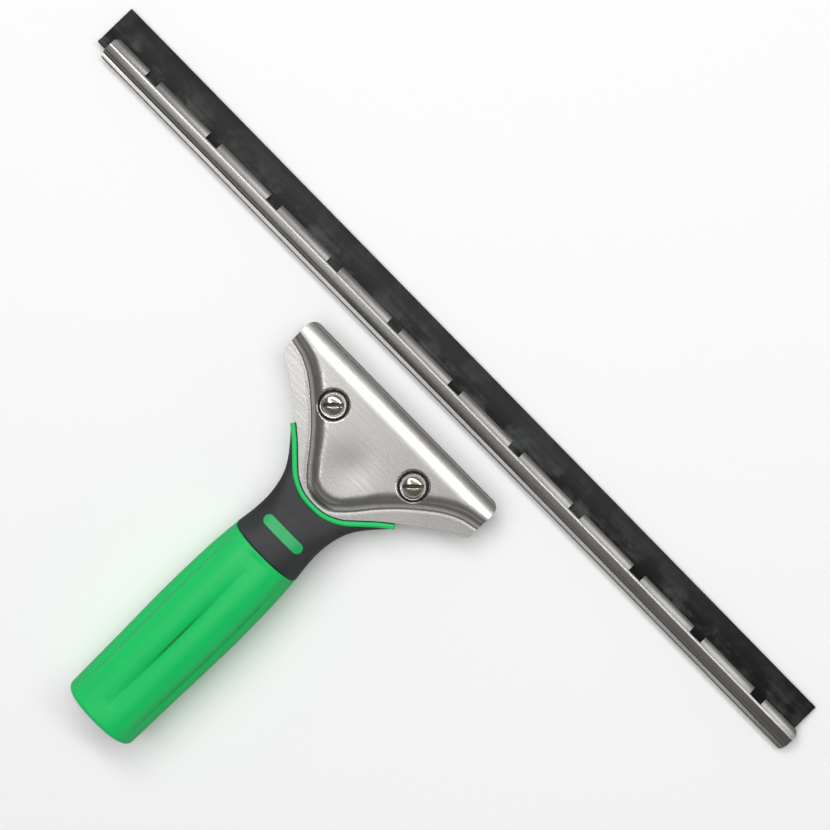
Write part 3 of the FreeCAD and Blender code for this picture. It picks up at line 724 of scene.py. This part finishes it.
def channel(material):
    """The folded strip: half its section, mirrored, drawn out along x, notched and thickened."""
    half = CHANNEL_LENGTH / 2
    bm = bmesh.new()
    verts = [bm.verts.new((-half, s * MM, w * MM)) for s, w in CHANNEL_FOLDS]
    verts += [bm.verts.new((-half, s * MM, -w * MM)) for s, w in CHANNEL_FOLDS[::-1]]
    for a, b in zip(verts, verts[1:]):
        bm.edges.new((a, b))
    bmesh.ops.bevel(bm, geom=verts[1:-1], offset=FOLD_RADIUS, offset_type="OFFSET", segments=5,
                    profile=0.5, affect="VERTICES", material=-1)
    draw_out(bm, bmesh.ops.extrude_edge_only(bm, edges=bm.edges[:]), CHANNEL_LENGTH)

    def cut(at, normal, clear=False):
        everything = bm.verts[:] + bm.edges[:] + bm.faces[:]
        bmesh.ops.bisect_plane(bm, geom=everything, plane_co=at, plane_no=normal, clear_outer=clear)

    notch_middles = [(i - (NOTCHES - 1) / 2) * NOTCH_PITCH for i in range(NOTCHES)]
    for middle in notch_middles:
        cut((middle - NOTCH_WIDTH / 2, 0, 0), (1, 0, 0))
        cut((middle + NOTCH_WIDTH / 2, 0, 0), (1, 0, 0))
    cut((0, LIP_END - NOTCH_DEPTH, 0), (0, 1, 0))

    def in_a_notch(centre):
        beside = any(abs(centre.x - m) < NOTCH_WIDTH / 2 for m in notch_middles)
        return centre.y > LIP_END - NOTCH_DEPTH and beside

    gone = [face for face in bm.faces if in_a_notch(face.calc_center_median())]
    bmesh.ops.delete(bm, geom=gone, context="FACES")
    for side in (-1, 1):
        cut((side * (half - CHANNEL_END_CUT), LIP_END, 0), (side, 1, 0), clear=True)
        cut((side * (half - CHANNEL_END_CUT), 0, 0), (side, -1, 0), clear=True)
    bmesh.ops.recalc_face_normals(bm, faces=bm.faces)
    strip = piece_from("steel_channel_folded", bm, channel_place())
    thicken(strip, STRIP, 0)
    ease_edges(strip, STRIP_EDGE, segments=3, degrees=60)
    smooth(strip, 40)
    strip.data.materials.append(material)
    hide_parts("steel_channel")
    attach(strip, "channel")


# ---- rubber blade ----
def blade(material):
    """The rubber: half its section mirrored, drawn out along x, with its edges just eased."""
    low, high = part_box("rubber_blade")
    bm = bmesh.new()
    upper = [bm.verts.new((low.x - CHANNEL_X, s * MM, w * MM)) for s, w in BLADE_SECTION]
    lower = [bm.verts.new((low.x - CHANNEL_X, s * MM, -w * MM)) for s, w in BLADE_SECTION[::-1]]
    section = bm.faces.new(upper + lower)
    draw_out(bm, bmesh.ops.extrude_face_region(bm, geom=[section]), high.x - low.x)
    bmesh.ops.recalc_face_normals(bm, faces=bm.faces)
    corners = [e for e in bm.edges if e.calc_face_angle(0) > math.radians(35)]
    bmesh.ops.bevel(bm, geom=corners, offset=BLADE_EDGE, offset_type="OFFSET", segments=2, profile=0.5,
                    affect="EDGES", material=-1)
    rubber = piece_from("rubber_blade_moulded", bm, channel_place())
    smooth(rubber, 35)
    rubber.data.materials.append(material)
    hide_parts("rubber_blade")
    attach(rubber, "rubber")


# ---- clamp screws ----
def clamp_screw(side, out, material):
    """A slotted screw: its head and shank spun from their profile, with the slot cut across."""
    seat = PLATEAU - DIMPLE_DEPTH + SCREW_SEAT_GAP
    top = seat + SCREW_HEAD_HIGH
    tip = -(PLATEAU - PLATE)
    r, n = SCREW_HEAD, SCREW_SHANK
    profile = [(0, tip), (n - SCREW_POINT, tip), (n, tip + SCREW_POINT), (n, seat),
               (r - HEAD_FOOT * MM, seat), (r, seat + HEAD_FOOT * MM)]
    profile += [(r - inwards * MM, top - below * MM) for inwards, below in HEAD_SHOULDER]
    profile += [(r * share, top - below * MM) for share, below in HEAD_DOME]
    bm = bmesh.new()
    verts = [bm.verts.new((x, 0, z)) for x, z in profile]
    edges = [bm.edges.new(pair) for pair in zip(verts, verts[1:])]
    bmesh.ops.spin(bm, geom=verts + edges, cent=(0, 0, 0), axis=(0, 0, 1), angle=2 * math.pi, steps=64,
                   use_merge=True)
    bmesh.ops.remove_doubles(bm, verts=bm.verts, dist=0.002 * MM)
    bmesh.ops.recalc_face_normals(bm, faces=bm.faces)
    place = CLAMP @ Matrix.Translation((out, -SCREW_BACK, JAW_LIFT))
    screw = piece_from(side + "_clamp_screw_turned", bm, place)
    slot, slot_high = bmesh.new(), 3 * MM
    bmesh.ops.create_cube(slot, size=1.0)
    bmesh.ops.scale(slot, vec=(3 * r, SCREW_SLOT, slot_high), verts=slot.verts)
    bmesh.ops.translate(slot, vec=(0, 0, top - SCREW_SLOT_DEEP + slot_high / 2), verts=slot.verts)
    cut_with(screw, [piece_from("slot", slot, place @ Matrix.Rotation(SCREW_TURN, 4, "Z"))])
    ease_edges(screw, SCREW_EDGE, segments=2, degrees=40)
    smooth(screw, 35)
    screw.data.materials.append(material)
    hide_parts(side + "_clamp_screw")
    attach(screw, side + "_screw")


# ---- trim beads ----
def trim_bead(name, node, side, material, along=160, around=20):
    """The soft bead: a rounded bar swept along the flange's edge, between its two ends."""
    bm = bmesh.new()
    bmesh.ops.create_grid(bm, x_segments=along, y_segments=around, size=1.0)
    for vert in bm.verts:
        x = vert.co.x * TRIM_REACH
        v, slope = flange_edge(x)
        outwards = Vector((slope, -1)).normalized()
        turn = vert.co.y * math.pi
        c, s = math.cos(turn), math.sin(turn)
        n = math.copysign(abs(s) ** TRIM_POWER, s) * TRIM_WIDTH / 2
        h = math.copysign(abs(c) ** TRIM_POWER, c) * (TRIM_TOP - TRIM_FOOT) / 2
        w = (TRIM_FOOT + TRIM_TOP) / 2 + h
        away = TRIM_GAP + TRIM_WIDTH / 2 + n
        vert.co = (x + outwards.x * away, v + outwards.y * away, side * w)
    bmesh.ops.remove_doubles(bm, verts=bm.verts, dist=0.005 * MM)
    bmesh.ops.holes_fill(bm, edges=[e for e in bm.edges if e.is_boundary], sides=0)
    bmesh.ops.recalc_face_normals(bm, faces=bm.faces)
    bead = piece_from(name, bm, CLAMP)
    smooth(bead, 50)
    bead.data.materials.append(material)
    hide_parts(node)
    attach(bead, "handle")


def finish_node(name, material):
    """Gives a CAD node its finish."""
    node = frame["nodes"][name]
    node.data.materials.clear()
    node.data.materials.append(material)


# ---- room ----
def room():
    """A pale floor that reflections don't see, and walls with a bright band above the horizon."""
    bm = bmesh.new()
    bmesh.ops.create_grid(bm, x_segments=1, y_segments=1, size=FLOOR_HALF)
    floor = piece_from("floor", bm, Matrix.Translation((0, 0, cad_box[0].z - FLOOR_GAP)))
    floor.data.materials.append(pale_floor())
    floor.visible_glossy = False
    world = bpy.data.worlds.new("studio")
    world.use_nodes = True
    walls = Nodes(world.node_tree)
    way = walls.node("ShaderNodeTexCoord")
    height = walls.node("ShaderNodeSeparateXYZ", None, {"Vector": way}, output=2)
    stops = [(at, shaded(WALL_TINT, grey)) for at, grey in WALL_TONES]
    tones = walls.node("ShaderNodeValToRGB", {"stops": stops}, {"Fac": height})
    walls.feed(walls.tree.nodes["Background"].inputs["Color"], tones)
    bpy.context.scene.world = world
    bpy.context.scene.view_settings.view_transform = "Standard"


def softbox(name, forward, aside, distance, size, brightness, in_reflections=True):
    """An area light seen from the clamp at two angles from its upright: forwards and to the side."""
    way = Vector((math.tan(math.radians(aside)), math.tan(math.radians(forward)), 1)).normalized()
    way = (turn_to_clamp.to_3x3() @ way).normalized()
    light = bpy.data.lights.new(name, "AREA")
    light.shape = "RECTANGLE"
    light.size, light.size_y = size
    light.energy = brightness * math.pi * size[0] * size[1]
    lamp = bpy.data.objects.new(name, light)
    lamp.location = mouth_centre + way * distance
    lamp.rotation_euler = (-way).to_track_quat("-Z", "Y").to_euler()
    lamp.visible_glossy = in_reflections
    bpy.context.scene.collection.objects.link(lamp)


def camera():
    """Straight down on the clamp, with the handle running up to the right."""
    lens = bpy.data.cameras.new("camera")
    lens.lens = LENS
    lens.sensor_width = SENSOR
    lens.clip_start, lens.clip_end = 0.05, 20
    shot = bpy.data.objects.new("camera", lens)
    distance = FRAME_WIDTH / SENSOR * LENS
    turned = Matrix.Rotation(math.pi / 2 - HANDLE_RISE, 4, "Z")
    place = CLAMP @ Matrix.Translation(LOOK_AT) @ turned
    shot.matrix_world = place @ Matrix.Translation((0, 0, distance))
    bpy.context.scene.collection.objects.link(shot)
    bpy.context.scene.camera = shot


room()
camera()
softbox("key softbox", forward=19, aside=-4, distance=1.5, size=(1.9, 0.27), brightness=4.6)
softbox("key halo", forward=19, aside=-8, distance=1.55, size=(2.2, 0.50), brightness=0.55)
softbox("side strip", forward=2, aside=-25, distance=1.5, size=(0.22, 1.3), brightness=2.6)
softbox("overhead card", forward=1, aside=0, distance=1.9, size=(0.75, 0.36), brightness=0.42)
softbox("back strip", forward=-44, aside=6, distance=1.6, size=(1.6, 0.30), brightness=0.25)
softbox("floor wash", forward=-8, aside=-14, distance=1.8, size=(1.9, 1.9), brightness=1.85,
        in_reflections=False)

jaw_steel = brushed_stainless("brushed stainless", JAW_TINT, roughness=0.29, stretch=14.0,
                              lines=2400.0, contrast=0.10, relief=0.006 * MM)
jaw("upper_jaw_pressed", "upper_jaw", "jaw", 1, JAW_LIFT, jaw_steel)
jaw("lower_jaw_pressed", "lower_jaw", "handle", -1, 0.0, jaw_steel)
green_rubber = soft_grip("green soft rubber", GREEN, 0.42)
grip(soft_grip("green grip rubber", GREEN, 0.42, creased=True))
channel(brushed_stainless("rolled stainless strip", STRIP_TINT, roughness=0.30, stretch=3.0,
                          lines=400.0, contrast=0.38, relief=0.0015 * MM))
trim_bead("trim_bead_top_soft", "trim_bead_top", 1, green_rubber)
trim_bead("trim_bead_bottom_soft", "trim_bead_bottom", -1, green_rubber)
blade(blade_rubber())
finish_node("handle_core", moulded_plastic())
finish_node("neck_inlay", soft_grip("green inlay", INLAY_GREEN, 0.38))
nickel = plated_steel()
for side, out in (("left", -SCREW_OUT), ("right", SCREW_OUT)):
    clamp_screw(side, out, nickel)
    finish_node(side + "_clamp_nut", nickel)
